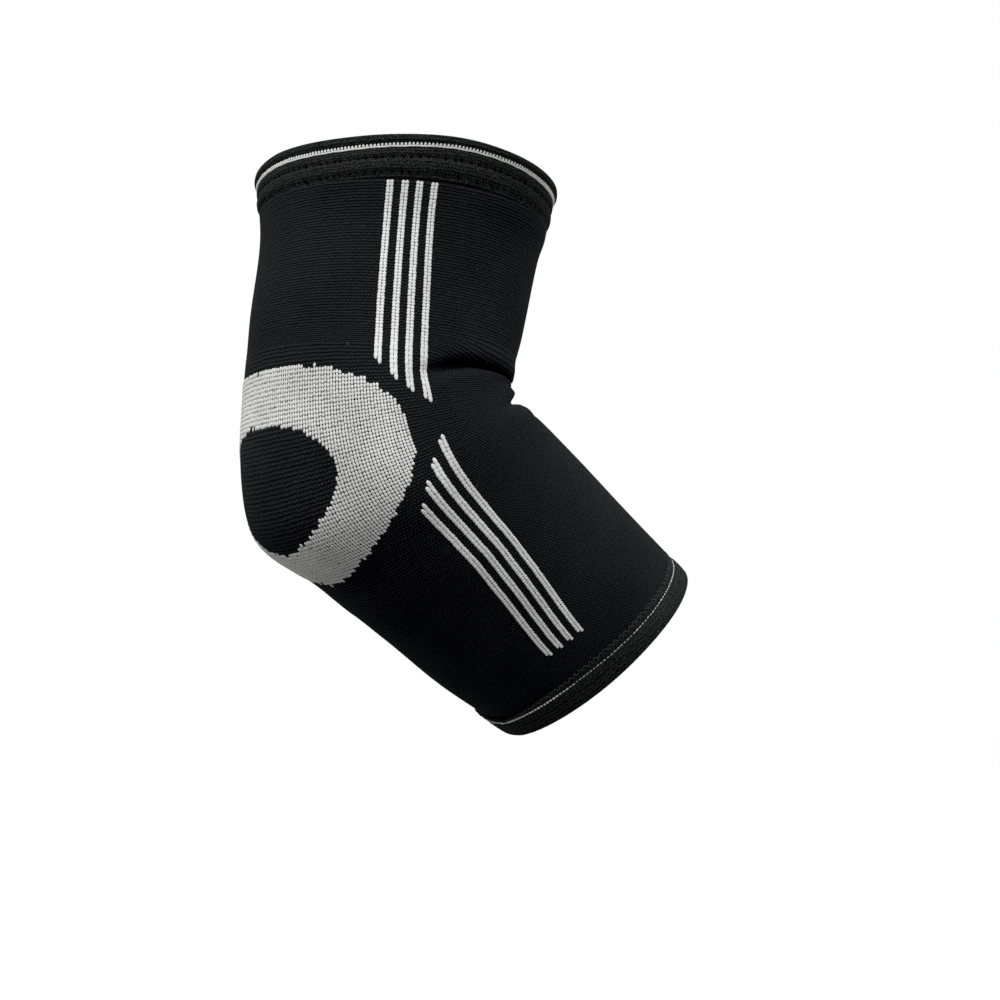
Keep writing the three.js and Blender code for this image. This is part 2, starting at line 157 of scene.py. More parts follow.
# By degrees from the elbow's back, in mm: how far a hem's rim, its light line and its edge lie
# nearer the tube's middle, and how much further out they all lie.
UPPER_BOW = [
    dict(angle=0, rim=-1.0, line=-0.5, edge=0.0, out=-0.5),
    dict(angle=30, rim=-0.4, line=-0.1, edge=-0.1, out=-0.2),
    dict(angle=52, rim=-0.7, line=-0.8, edge=-0.8, out=0.0),
    dict(angle=75, rim=-1.2, line=-1.6, edge=-1.0, out=0.0),
    dict(angle=100, rim=-0.6, line=-1.0, edge=-0.6, out=0.0),
    dict(angle=125, rim=0.0, line=0.0, edge=0.0, out=0.0),
    dict(angle=180, rim=0.0, line=0.0, edge=0.0, out=0.0),
]
LOWER_BOW = [
    dict(angle=0, rim=-0.6, line=1.4, edge=-1.2, out=0.9),
    dict(angle=25, rim=0.0, line=2.8, edge=1.6, out=0.6),
    dict(angle=50, rim=0.0, line=2.9, edge=2.9, out=0.0),
    dict(angle=80, rim=0.0, line=1.5, edge=1.5, out=0.0),
    dict(angle=110, rim=-0.8, line=0.2, edge=0.2, out=-0.3),
    dict(angle=145, rim=-1.5, line=-0.6, edge=-0.6, out=-0.4),
    dict(angle=180, rim=-1.5, line=-0.8, edge=-0.8, out=-0.4),
]


# The tube's shape

def distance_to(at):
    """Distance from the upper rim to a place: the sum of length * passed share over the stretches."""
    return sum(length * min(max(at - i, 0.0), 1.0) for i, length in enumerate(STRETCHES))


STOPS = np.array([distance_to(row["at"]) for row in SECTIONS])
RADIUS_STOPS = np.array([0.0, UPPER_LENGTH + BEND_LENGTH / 2, FULL_LENGTH])
RADII = np.array([UPPER_RADIUS, ELBOW_RADIUS, FOREARM_RADIUS])


def smooth_column(stops, values, distance):
    """Cubic through the values at the stops, each slope taken from the two neighbouring stops."""
    distance = np.asarray(distance, float)
    last = len(stops) - 1
    before = np.maximum(np.arange(last + 1) - 1, 0)
    after = np.minimum(np.arange(last + 1) + 1, last)
    slope = (values[after] - values[before]) / (stops[after] - stops[before])
    i = np.clip(np.searchsorted(stops, distance, side="left") - 1, 0, last - 1)
    span = stops[i + 1] - stops[i]
    t = (distance - stops[i]) / span
    rise = t * t * (3 - 2 * t)
    straight = values[i] * (1 - rise) + values[i + 1] * rise
    return straight + span * (slope[i] * t * (1 - t) ** 2 - slope[i + 1] * t * t * (1 - t))


def section(name, distance):
    """One column of the sections table at a distance."""
    return smooth_column(STOPS, np.array([float(row[name]) for row in SECTIONS]), distance)


def smooth_step(t):
    """0 below 0, 1 above 1 and a smooth rise between."""
    t = np.clip(t, 0.0, 1.0)
    return t * t * (3 - 2 * t)


def around_back(angle):
    """Degrees from the elbow's back, either way, 0 to 180."""
    return np.abs((angle + 180.0) % 360.0 - 180.0)


def by_angle(rows, name, around):
    """One column of a table by degrees from the elbow's back."""
    stops = np.array([float(row["angle"]) for row in rows])
    return smooth_column(stops, np.array([float(row[name]) for row in rows]), around)


def fold_lift(distance, angle):
    """Sum of the folds, as (height, slide along the tube).

    Each is a bell along the tube, exp(-(offset / along)^2), times a smooth fade round it."""
    around = around_back(angle)
    path = by_angle(CREASE_PATH, "move", around)
    height = np.zeros(np.broadcast(distance, angle).shape)
    slide = np.zeros_like(height)
    for fold in FOLDS:
        slant = path if "path" in fold else fold["slant"] * ELBOW_RADIUS * (180.0 - around) / 90.0
        middle = distance_to(fold["at"]) + slant
        offset = (distance - middle) / (fold["along"] * ELBOW_RADIUS)
        inside = (fold["reach"] - np.abs(around - fold["middle"])) / fold["fade"]
        bell = np.exp(-offset * offset) * smooth_step(inside)
        height += fold["out"] * ELBOW_RADIUS * bell
        slide += fold["lip"] * ELBOW_RADIUS * bell
    return height, slide


def tube_points(distance, angle, height):
    """Points on the bent tube, in metres.

    They are an ellipse round the centre line, a line, an arc and a line again. Height and folds
    lift them along the ellipse's normal, and tilt and skew shear each section along the tube."""
    fold, slid = fold_lift(distance, angle)
    place = distance + slid
    turn = np.radians(angle)
    from_middle = place - UPPER_LENGTH - BEND_LENGTH / 2
    in_bend = np.clip(from_middle, -BEND_LENGTH / 2, BEND_LENGTH / 2)
    heading = math.radians(-90.0 - UPPER_LEAN + BEND_ANGLE / 2)
    turned = heading + in_bend / BEND_RADIUS
    beyond = from_middle - in_bend
    line_x = BEND_RADIUS * (np.sin(turned) - math.sin(heading)) + beyond * np.cos(turned)
    line_z = BEND_RADIUS * (math.cos(heading) - np.cos(turned)) + beyond * np.sin(turned)
    radius = smooth_column(RADIUS_STOPS, RADII, distance)
    towards_back = np.cos(turn) > 0
    depth = np.where(towards_back, section("back", distance), section("crook", distance)) * radius
    side = section("side", distance) * radius
    normal_back = np.cos(turn) / depth
    normal_side = np.sin(turn) / side
    normal_length = np.hypot(normal_back, normal_side)
    lift = height + fold
    back = depth * np.cos(turn) + normal_back / normal_length * lift
    sideways = side * np.sin(turn) + normal_side / normal_length * lift
    slide = back * np.tan(np.radians(section("tilt", distance)))
    slide = slide + sideways * np.tan(np.radians(section("skew", distance)))
    x = line_x + np.sin(turned) * back + np.cos(turned) * slide
    z = line_z - np.cos(turned) * back + np.sin(turned) * slide
    return np.stack(np.broadcast_arrays(x, -sideways, z), axis=-1) * MM


def wale_angle(wale, distance):
    """Angle of a wale from the elbow's back: wale * 180 + drift * sin(pi * wale) + twist."""
    drift = section("drift", distance) * np.sin(np.pi * wale)
    return wale * 180.0 + drift + section("twist", distance)


def fabric_points(wale, distance, height):
    """Points of the fabric at a wale, a distance along the tube and a height above the knit."""
    return tube_points(distance, wale_angle(wale, distance), height)


# Meshes

def make_object(name, points, faces, uv=None):
    """A smooth mesh object at the origin, from points in metres, lists of corners and corner UVs."""
    mesh = bpy.data.meshes.new(name)
    mesh.from_pydata(points.tolist(), [], faces)
    if uv is not None:
        layer = mesh.uv_layers.new(name="stitches")
        layer.data.foreach_set("uv", np.asarray(uv, np.float32).ravel())
    mesh.polygons.foreach_set("use_smooth", np.ones(len(mesh.polygons), bool))
    mesh.update()
    piece = bpy.data.objects.new(name, mesh)
    bpy.context.scene.collection.objects.link(piece)
    return piece


def course_number(distance):
    """Courses from the upper rim: (distance + BEND_COURSES * its part over the bend) / BODY_COURSE."""
    over_bend = np.clip(distance - UPPER_LENGTH + BEND_MARGIN, 0, BEND_LENGTH + 2 * BEND_MARGIN)
    return (distance + BEND_COURSES * over_bend) / BODY_COURSE


def ring_grid(name, wales, distances, heights, v):
    """A closed skin round the whole tube: a row for each distance, a column for each wale.

    distances and heights are row by column arrays or one number a row, and v the rows' place in
    courses. Faces run from row to row, and the last row joins the first."""
    rows = len(distances)
    columns = len(wales)
    points = fabric_points(wales[None, :], distances.reshape(rows, -1), heights).reshape(-1, 3)
    row = np.arange(rows)[:, None]
    column = np.arange(columns)[None, :]
    after = (row + 1) % rows
    right = (column + 1) % columns
    faces = np.stack([
        row * columns + column, row * columns + right,
        after * columns + right, after * columns + column,
    ], axis=-1).reshape(-1, 4)
    u = (wales + 1.0) / WALE
    u_next = np.append(u[1:], WALES + u[0])
    v_next = np.append(v[1:], v[-1])
    uv = np.zeros((rows, columns, 4, 2))
    uv[:, :, (0, 3), 0] = u[None, :, None]
    uv[:, :, (1, 2), 0] = u_next[None, :, None]
    uv[:, :, (0, 1), 1] = v[:, None, None]
    uv[:, :, (2, 3), 1] = v_next[:, None, None]
    return make_object(name, points, faces.tolist(), uv.reshape(-1, 2))


def dome(segments, rings, power=1.0):
    """A closed half-ellipsoid of unit size: (x, y, z) points and faces, z up, its base at z 0.

    Rings lie at even tilts from the top down to the base, which closes in a fan. Their radius is
    sin(tilt)^power and their height cos(tilt)^power, so a power below 1 squares the shape. A
    triangle is written as a quad whose last two corners are one point."""
    tilt = np.arange(1, rings + 1) * (np.pi / 2) / rings
    turn = np.arange(segments) * 2 * np.pi / segments
    level = np.clip(np.cos(tilt), 0, 1) ** power
    radius = (np.sin(tilt) ** power)[:, None]
    circle = np.stack([
        radius * np.cos(turn), radius * np.sin(turn), level[:, None] * np.ones(segments),
    ], axis=-1).reshape(-1, 3)
    points = np.vstack([[[0, 0, 1]], circle, [[0, 0, 0]]])
    here = np.arange(segments)
    after = (here + 1) % segments
    base = len(points) - 1
    faces = [np.stack([np.zeros_like(here), 1 + here, 1 + after, 1 + after], axis=-1)]
    for k in range(rings - 1):
        low = 1 + (k + 1) * segments
        high = 1 + k * segments
        faces.append(np.stack([high + here, low + here, low + after, high + after], axis=-1))
    low = 1 + (rings - 1) * segments
    bottom = np.full_like(here, base)
    faces.append(np.stack([low + here, bottom, low + after, low + after], axis=-1))
    return points, np.vstack(faces)


def stitch_field(name, wales, distances, width, length, height, sink, shape):
    """Raised stitches as one mesh: a dome at each wale and distance, bent onto the fabric.

    width, length and height are the dome's half-width, half-length and height in mm and sink its
    base's depth, each as a number or as one for each stitch."""
    unit, unit_faces = shape
    count = len(wales)
    width, length, height, sink = (
        np.broadcast_to(size, count)[:, None] for size in (width, length, height, sink))
    wale = wales[:, None] + unit[:, 0] * width / (np.pi * ELBOW_RADIUS)
    distance = distances[:, None] + unit[:, 1] * length
    points = fabric_points(wale, distance, unit[:, 2] * height - sink).reshape(-1, 3)
    faces = (unit_faces[None] + (np.arange(count) * len(unit))[:, None, None]).reshape(-1, 4)
    corners = [face[:3] if face[2] == face[3] else face for face in faces.tolist()]
    return make_object(name, points, corners)


def strand(name, wales, distances, heights, radius, sides=6):
    """A closed yarn round the tube: path + radius * (cos(turn) * out + sin(turn) * across)."""
    path = fabric_points(wales, distances, heights)
    ahead = np.roll(path, -1, axis=0) - np.roll(path, 1, axis=0)
    ahead /= np.linalg.norm(ahead, axis=1)[:, None]
    out = fabric_points(wales, distances, heights + 1.0) - path
    out -= ahead * np.sum(out * ahead, axis=1)[:, None]
    out /= np.linalg.norm(out, axis=1)[:, None]
    across = np.cross(ahead, out)
    turn = (np.arange(sides) * 2 * np.pi / sides)[None, :, None]
    circle = np.cos(turn) * out[:, None] + np.sin(turn) * across[:, None]
    points = (path[:, None] + circle * radius * MM).reshape(-1, 3)
    row = np.arange(len(path))[:, None]
    side = np.arange(sides)[None, :]
    after = (row + 1) % len(path)
    right = (side + 1) % sides
    faces = np.stack([
        row * sides + side, after * sides + side, after * sides + right, row * sides + right,
    ], axis=-1).reshape(-1, 4)
    return make_object(name, points, faces.tolist())


# Material groups

def new_group(name, inputs, outputs):
    """An empty shader node group with named sockets: (group, group input, group output)."""
    group = bpy.data.node_groups.new(name, "ShaderNodeTree")
    for label, kind, value in inputs:
        socket = group.interface.new_socket(name=label, in_out="INPUT", socket_type=kind)
        if value is not None:
            socket.default_value = value
    for label, kind in outputs:
        group.interface.new_socket(name=label, in_out="OUTPUT", socket_type=kind)
    return group, group.nodes.new("NodeGroupInput"), group.nodes.new("NodeGroupOutput")


def math_node(tree, operation, *values):
    """A Math node whose inputs are sockets or numbers. Returns its output."""
    node = tree.nodes.new("ShaderNodeMath")
    node.operation = operation
    for socket, value in zip(node.inputs, values):
        if isinstance(value, (int, float)):
            socket.default_value = value
        else:
            tree.links.new(value, socket)
    return node.outputs[0]


def ramp(tree, value, low, high, start=0.0, finish=1.0):
    """Map Range node from low..high to start..finish, clamped."""
    node = tree.nodes.new("ShaderNodeMapRange")
    tree.links.new(value, node.inputs["Value"])
    limits = (("From Min", low), ("From Max", high), ("To Min", start), ("To Max", finish))
    for label, number in limits:
        node.inputs[label].default_value = number
    return node.outputs["Result"]


def mixed(tree, factor, first, second, blend="MIX"):
    """Colour mix of two sockets or colours. Returns the result."""
    node = tree.nodes.new("ShaderNodeMix")
    node.data_type = "RGBA"
    node.blend_type = blend
    sockets = (node.inputs["Factor"], node.inputs["A"], node.inputs["B"])
    for socket, value in zip(sockets, (factor, first, second)):
        if hasattr(value, "node"):
            tree.links.new(value, socket)
        else:
            socket.default_value = value
    return node.outputs["Result"]


def noise(tree, vector, pattern):
    """Noise texture's value at a vector, with the pattern's scale and detail."""
    node = tree.nodes.new("ShaderNodeTexNoise")
    node.inputs["Scale"].default_value = pattern["scale"]
    node.inputs["Detail"].default_value = pattern["detail"]
    tree.links.new(vector, node.inputs["Vector"])
    return node.outputs["Fac"]


# Knit pattern: noise scales by stitch, a bump of middle + swing * cos across each stitch and
# sin^power along it, the noise levels between which it fades, and the heights where the shade painted
# between the rows ends.
BROAD_SWAY = dict(scale=0.30, detail=2.0)
FINE_SWAY = dict(scale=0.95, detail=1.0)
BUMP = dict(middle=0.74, swing=0.26, power=0.7)
FADE = dict(scale=0.60, detail=2.0, low=0.30, high=0.70, least=0.70)
PIT_SHADE = dict(low=0.10, high=0.75)

# Fuzz and lint: noise scales by metre, and the noise levels between which each of them rises.
SHADE = dict(scale=45.0, detail=3.0, low=0.30, high=0.70, darkest=0.86, lightest=1.12)
SPECKS = dict(scale=900.0, detail=1.0, low=0.74, high=0.80)
PATCHES = dict(scale=60.0, detail=1.0, low=0.45, high=0.60)
FIBRE = dict(scale=2600.0, detail=2.0)
FIBRE_SHARE = 0.25              # height of the fibres beside the knit's bumps
LINT_COLOUR = (0.16, 0.165, 0.165, 1.0)

CLOTH_ROUGHNESS = 0.9
SHEEN_ROUGHNESS = 0.4
BUMP_STRENGTH = 0.9


def build_knit_group():
    """Knit: rows of slanting stitch bumps from UV in stitches.

    Each row's stitches lean in turn to either side, v + slant |fract(u) - 1/2|, every second row is
    half a stitch further on, and noise moves and fades them. Height is the bumps' height. Pit Shade
    is 0 where shade is painted between the rows and 1 on the stitches."""
    group, given, put = new_group("knit stitches", [
        ("Stitches", "NodeSocketVector", None), ("Along", "NodeSocketFloat", 1.0),
        ("Slant", "NodeSocketFloat", 0.5), ("Unevenness", "NodeSocketFloat", 0.5),
    ], [("Height", "NodeSocketFloat"), ("Pit Shade", "NodeSocketFloat")])
    stitches = given.outputs["Stitches"]
    split = group.nodes.new("ShaderNodeSeparateXYZ")
    group.links.new(stitches, split.inputs[0])
    broad = math_node(group, "SUBTRACT", noise(group, stitches, BROAD_SWAY), 0.5)
    fine = math_node(group, "SUBTRACT", noise(group, stitches, FINE_SWAY), 0.5)
    sway = math_node(group, "ADD", broad, fine)
    sway = math_node(group, "MULTIPLY", sway, given.outputs["Unevenness"])
    u = math_node(group, "ADD", split.outputs[0], sway)
    v = math_node(group, "MULTIPLY_ADD", split.outputs[1], given.outputs["Along"], sway)
    side = math_node(group, "SUBTRACT", math_node(group, "FRACT", u), 0.5)
    side = math_node(group, "ABSOLUTE", side)
    v = math_node(group, "MULTIPLY_ADD", side, given.outputs["Slant"], v)
    shift = math_node(group, "MULTIPLY", math_node(group, "FLOOR", v), 0.5)
    around = math_node(group, "MULTIPLY", math_node(group, "ADD", u, shift), 2 * math.pi)
    along = math_node(group, "MULTIPLY", math_node(group, "FRACT", v), math.pi)
    wave = math_node(group, "COSINE", around)
    across = math_node(group, "MULTIPLY_ADD", wave, BUMP["swing"], BUMP["middle"])
    lengthwise = math_node(group, "POWER", math_node(group, "SINE", along), BUMP["power"])
    fade_noise = noise(group, stitches, FADE)
    fade = ramp(group, fade_noise, FADE["low"], FADE["high"], FADE["least"], 1.0)
    height = math_node(group, "MULTIPLY", math_node(group, "MULTIPLY", across, lengthwise), fade)
    group.links.new(height, put.inputs["Height"])
    # mask for the shade painted between the rows: 0 there, 1 on the stitches
    group.links.new(ramp(group, height, PIT_SHADE["low"], PIT_SHADE["high"]), put.inputs["Pit Shade"])
    return group


def build_fuzz_group():
    """Fuzz: broad uneven shading, fibres and thinly strewn lint, from object coordinates."""
    group, given, put = new_group("fuzz and lint", [
        ("Place", "NodeSocketVector", None), ("Lint", "NodeSocketFloat", 0.5),
    ], [("Shade", "NodeSocketFloat"), ("Lint", "NodeSocketFloat"), ("Fibre", "NodeSocketFloat")])
    place = given.outputs["Place"]
    broad = noise(group, place, SHADE)
    shade = ramp(group, broad, SHADE["low"], SHADE["high"], SHADE["darkest"], SHADE["lightest"])
    group.links.new(shade, put.inputs["Shade"])
    specks = ramp(group, noise(group, place, SPECKS), SPECKS["low"], SPECKS["high"])
    patches = ramp(group, noise(group, place, PATCHES), PATCHES["low"], PATCHES["high"])
    strewn = math_node(group, "MULTIPLY", specks, patches)
    lint = math_node(group, "MULTIPLY", strewn, given.outputs["Lint"])
    group.links.new(lint, put.inputs["Lint"])
    group.links.new(noise(group, place, FIBRE), put.inputs["Fibre"])
    return group


KNIT_GROUP = build_knit_group()
FUZZ_GROUP = build_fuzz_group()


def placed_group(tree, group, values):
    """A group's node in a material's tree, with its own values on the named inputs."""
    node = tree.nodes.new("ShaderNodeGroup")
    node.node_tree = group
    for label, value in values.items():
        node.inputs[label].default_value = value
    return node


def cloth_material(name, colour, bump_depth, lint=0.0, sheen=0.05, shine=0.2, pit_shade=None, knit=None):
    """Cloth or yarn: uneven shade, fibres and lint, and knit stitches with painted shade between rows.
    """
    material = bpy.data.materials.new(name)
    material.use_nodes = True
    tree = material.node_tree
    shader = tree.nodes["Principled BSDF"]
    shader.inputs["Roughness"].default_value = CLOTH_ROUGHNESS
    shader.inputs["Specular IOR Level"].default_value = shine
    shader.inputs["Sheen Weight"].default_value = sheen
    shader.inputs["Sheen Roughness"].default_value = SHEEN_ROUGHNESS
    places = tree.nodes.new("ShaderNodeTexCoord")
    fuzz = placed_group(tree, FUZZ_GROUP, {"Lint": lint})
    tree.links.new(places.outputs["Object"], fuzz.inputs["Place"])
    cloth = colour
    height = fuzz.outputs["Fibre"]
    if knit:
        stitches = tree.nodes.new("ShaderNodeUVMap")
        stitches.uv_map = "stitches"
        rows = placed_group(tree, KNIT_GROUP, knit)
        tree.links.new(stitches.outputs[0], rows.inputs["Stitches"])
        # the darker colour is shade painted between the rows, where the bumps are low
        cloth = mixed(tree, rows.outputs["Pit Shade"], pit_shade, colour)
        height = math_node(tree, "MULTIPLY_ADD", height, FIBRE_SHARE, rows.outputs["Height"])
    shade = tree.nodes.new("ShaderNodeCombineColor")
    for socket in shade.inputs:
        tree.links.new(fuzz.outputs["Shade"], socket)
    shaded = mixed(tree, 1.0, cloth, shade.outputs[0], "MULTIPLY")
    linted = mixed(tree, fuzz.outputs["Lint"], shaded, LINT_COLOUR)
    tree.links.new(linted, shader.inputs["Base Color"])
    bump = tree.nodes.new("ShaderNodeBump")
    bump.inputs["Strength"].default_value = BUMP_STRENGTH
    bump.inputs["Distance"].default_value = bump_depth * MM
    tree.links.new(height, bump.inputs["Height"])
    tree.links.new(bump.outputs[0], shader.inputs["Normal"])
    return material


# Each black's second, darker colour is shade painted between the knit's rows.
KNIT_BLACK = cloth_material(
    "black knit", (0.0232, 0.0252, 0.0264, 1), 0.50, lint=0.5, sheen=0.02, shine=0.05,
    pit_shade=(0.0045, 0.0050, 0.0055, 1), knit={"Along": 1.0, "Slant": 0.45, "Unevenness": 0.55})
HEM_BLACK = cloth_material(
    "black hem", (0.0390, 0.0402, 0.0402, 1), 0.48, lint=0.7, sheen=0.02, shine=0.05,
    pit_shade=(0.0040, 0.0045, 0.0048, 1), knit={"Along": 0.85, "Slant": 0.8, "Unevenness": 1.3})
RING_GREY = cloth_material("light grey yarn", (0.66, 0.665, 0.64, 1), 0.08)
STRIPE_WHITE = cloth_material("off-white yarn", (0.715, 0.72, 0.70, 1), 0.08)
GREY_THREAD = cloth_material("charcoal thread", (0.045, 0.047, 0.047, 1), 0.05)


def finish_piece(piece, material, slot_name, *nodes):
    """Gives a piece its material and body, and hides the frame nodes that it stands for."""
    piece.data.materials.append(material)
    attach(piece, "root")
    if nodes:
        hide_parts(*nodes)
    return piece


# Knitted tube

SLEEVE_COLUMNS = 312
INNER_STEP = 3.2                # between the rows of the inner face, and of the outer one by place
OUTER_STEPS = [
    dict(to=1.00, step=0.95),
    dict(to=1.45, step=0.36),
    dict(to=1.80, step=0.75),
    dict(to=3.00, step=0.95),
]
SEAT_INSIDE = 0.6               # the wall thickens from this far inside a hem band's edge
SEAT_BEYOND = 0.2               # to this far beyond it


def outer_stops(start, finish):
    """Distances from start to finish in even steps, finer across the creases."""
    stops = [np.array([start])]
    here = start
    for band in OUTER_STEPS:
        there = min(distance_to(band["to"]), finish)
        count = max(int(round((there - here) / band["step"])), 1)
        stops.append(np.linspace(here, there, count + 1)[1:])
        here = there
    return np.concatenate(stops)


def make_sleeve():
    """The tube's wall as one closed skin: down its outer face and back up its inner one.

    It is thinner under the hem bands, which sit in that step."""
    sunk = HEMMED_WALL - KNIT_WALL
    rim = HEM_LEG + GAP
    upper = [rim, UPPER_HEM - SEAT_INSIDE]
    lower = [FULL_LENGTH - LOWER_HEM + SEAT_INSIDE, FULL_LENGTH - rim]
    outer = outer_stops(UPPER_HEM + SEAT_BEYOND, FULL_LENGTH - LOWER_HEM - SEAT_BEYOND)
    inner = np.append(np.arange(FULL_LENGTH - rim, rim, -INNER_STEP), rim)
    distances = np.concatenate([upper, outer, lower, inner])
    heights = np.concatenate([
        [sunk, sunk], np.zeros(len(outer)), [sunk, sunk], np.full(len(inner), -KNIT_WALL),
    ])
    wales = np.linspace(-1, 1, SLEEVE_COLUMNS, endpoint=False)
    return ring_grid("knit_tube", wales, distances, heights[:, None], course_number(distances))


sleeve = finish_piece(make_sleeve(), KNIT_BLACK, "knit", "knit_sleeve")

# Hems

HEM_COLUMNS = 756
RIM_STEPS = 10
HOLES = 108                     # stitch holes round a hem
HOLE_DEPTH = 0.95
HOLE_DRIFT = 1.6                # how far the slow waves move the holes, in radians
HOLE_MEAN = 0.8                 # the holes' mean depth as a share, and how it swings
HOLE_SWING = 0.4
HOLE_BEATS = (37, 14)           # waves round a hem whose product swings it
SLOW_WAVES = (10, 22, 38, 62)   # waves round a hem
WAVE_HEIGHT = 0.07
TUCK = 0.05                     # how far the band's edge turns back
UPPER_LINE_DROP = 3.95
LOWER_LINE_DROP = 7.0


def from_rim(upper, drop):
    """Distance along the tube of a drop from the upper or the lower rim."""
    return drop if upper else FULL_LENGTH - drop


def bowed(upper, wales, drops):
    """A hem row's drops and added heights at some wales, from the hem's bow table.

    The move goes smoothly from the rim's to the light line's and from there to the edge's."""
    rows = UPPER_BOW if upper else LOWER_BOW
    turn = wale_angle(wales, np.full(np.shape(wales), 0.0 if upper else FULL_LENGTH))
    around = around_back(turn)
    upper_drops = (UPPER_LINE_DROP, UPPER_HEM)
    line_drop, edge_drop = upper_drops if upper else (LOWER_LINE_DROP, LOWER_HEM)
    rim, line, edge = (by_angle(rows, name, around) for name in ("rim", "line", "edge"))
    to_line = smooth_step((drops - HEM_LEG) / (line_drop - HEM_LEG))
    to_edge = smooth_step((drops - line_drop) / (edge_drop - line_drop))
    move = rim + to_line * (line - rim) + to_edge * (edge - line)
    return drops + move, by_angle(rows, "out", around)


def make_hem(name, upper, band, profile, seed):
    """A folded band round the tube's edge: its profile of drops and heights, closed inside the fold.

    The fold at the rim is half an ellipse from the lining to the profile's first row. Rows with
    holes dip by max(0, cos(holes * turn))^2 at each stitch, and slow waves keep the band uneven."""
    drops, heights, holes = (
        np.array([row[column] for row in profile]) for column in ("drop", "height", "hole"))
    seat = HEMMED_WALL - KNIT_WALL + GAP
    inner_face = -KNIT_WALL - GAP
    lining = inner_face - HEM_LEG
    leg_end = band * LINING_SHARE
    inside = np.array([
        (drops[-1] - TUCK, seat), (HEM_LEG, seat), (HEM_LEG, inner_face),
        (leg_end, inner_face), (leg_end, lining),
    ])
    turn = np.linspace(0, np.pi, RIM_STEPS + 1)[:-1]
    rim_drops = HEM_LEG * (1 - np.sin(turn))
    rim_heights = lining + (heights[0] - lining) * (1 - np.cos(turn)) / 2
    all_drops = np.concatenate([drops, inside[:, 0], rim_drops])
    all_heights = np.concatenate([heights, inside[:, 1], rim_heights])
    all_holes = np.concatenate([holes, np.zeros(len(inside) + RIM_STEPS)])

    wales = np.linspace(-1, 1, HEM_COLUMNS, endpoint=False)
    around = np.pi * wales
    rng = np.random.default_rng(seed)
    phases = rng.uniform(0, 2 * np.pi, len(SLOW_WAVES))
    slow = sum(np.sin(around * n + phase) for n, phase in zip(SLOW_WAVES, phases)) / len(SLOW_WAVES)
    bell = np.clip(np.cos(around * HOLES + HOLE_DRIFT * slow), 0, 1) ** 2
    beat = np.sin(around * HOLE_BEATS[0] + phases[0]) * np.sin(around * HOLE_BEATS[1])
    bell = bell * (HOLE_MEAN + HOLE_SWING * beat)
    outside = (np.arange(len(all_drops)) < len(drops))[:, None]
    moved, out = bowed(upper, wales[None, :], all_drops[:, None])
    height_grid = all_heights[:, None] - HOLE_DEPTH * all_holes[:, None] * bell[None, :]
    height_grid = height_grid + outside * WAVE_HEIGHT * slow[None, :] + out
    distances = from_rim(upper, moved)
    steps = np.abs(np.diff(all_drops, prepend=0)) + np.abs(np.diff(all_heights, prepend=0))
    courses = np.cumsum(steps) / BODY_COURSE
    # the lower hem's rows are turned round, so that its faces point outwards too
    order = slice(None) if upper else slice(None, None, -1)
    return ring_grid(name, wales, distances[order], height_grid[order], courses[order])


finish_piece(make_hem("upper_hem", upper=True, band=UPPER_HEM, profile=UPPER_PROFILE, seed=3),
             HEM_BLACK, "cuff", "upper_cuff")
finish_piece(make_hem("lower_hem", upper=False, band=LOWER_HEM, profile=LOWER_PROFILE, seed=8),
             HEM_BLACK, "cuff", "lower_cuff")

# Light lines in the hems. A spread is how much a size or place varies, in mm.

TOOTH = dict(count=250, drop=3.45, width=0.44, length=0.80, height=0.60, sink=0.15,
             drop_spread=0.06, length_spread=0.05)
UPPER_YARN = dict(columns=360, height=0.10, radius=0.25, waves=46, wave=0.05)
FLAT_STITCH = dict(count=176, width=0.78, length=0.20, height=0.34, sink=0.10, longer=0.40,
                   higher=0.30, width_spread=0.10, length_spread=0.03, height_spread=0.08,
                   drop_spread=0.03)
BROAD_REACH = 30.0              # degrees from the elbow's back where the flat stitches are broadest
BROAD_FADE = 30.0
COVER = dict(columns=1200, drop=9.8, zigs=120, swing=0.8, height=0.21, radius=0.16, dips=58,
             dip=0.12, dip_start=1.0)


def even_wales(count):
    """Wales of a number of even steps all round the tube."""
    return np.arange(count) * 2.0 / count - 1


def make_upper_line():
    """Teeth pointing to the rim on a flat yarn: a dome at each even step round the hem."""
    count = TOOTH["count"]
    rng = np.random.default_rng(11)
    wales = even_wales(count)
    drops, out = bowed(True, wales, TOOTH["drop"] + rng.normal(0, TOOTH["drop_spread"], count))
    length = TOOTH["length"] + rng.normal(0, TOOTH["length_spread"], count)
    return stitch_field("upper_line_teeth", wales, drops, TOOTH["width"], length, TOOTH["height"],
                        TOOTH["sink"] - out, dome(segments=8, rings=3))


def make_upper_yarn():
    """The yarn under the teeth: a strand round the hem, drop + wave * sin(waves * turn)."""
    wales = np.linspace(-1, 1, UPPER_YARN["columns"], endpoint=False)
    wave = UPPER_YARN["wave"] * np.sin(np.pi * wales * UPPER_YARN["waves"])
    drops, out = bowed(True, wales, UPPER_LINE_DROP + wave)
    return strand("upper_line_yarn", wales, drops, UPPER_YARN["height"] + out, UPPER_YARN["radius"])


def make_lower_line():
    """Flat stitches end to end in the crease of the lower hem, broader on the elbow's side."""
    count = FLAT_STITCH["count"]
    rng = np.random.default_rng(12)
    wales = even_wales(count)
    broad = 1 - smooth_step((np.abs(wales) * 180.0 - BROAD_REACH) / BROAD_FADE)
    width = FLAT_STITCH["width"] + rng.normal(0, FLAT_STITCH["width_spread"], count)
    length = FLAT_STITCH["length"] + FLAT_STITCH["longer"] * broad
    length = length + rng.normal(0, FLAT_STITCH["length_spread"], count)
    height = FLAT_STITCH["height"] + FLAT_STITCH["higher"] * broad
    height = height + rng.normal(0, FLAT_STITCH["height_spread"], count)
    drops = LOWER_LINE_DROP + rng.normal(0, FLAT_STITCH["drop_spread"], count)
    drops, out = bowed(False, wales, drops)
    return stitch_field("lower_line", wales, FULL_LENGTH - drops, width, length, height,
                        FLAT_STITCH["sink"] - out, dome(segments=8, rings=2))


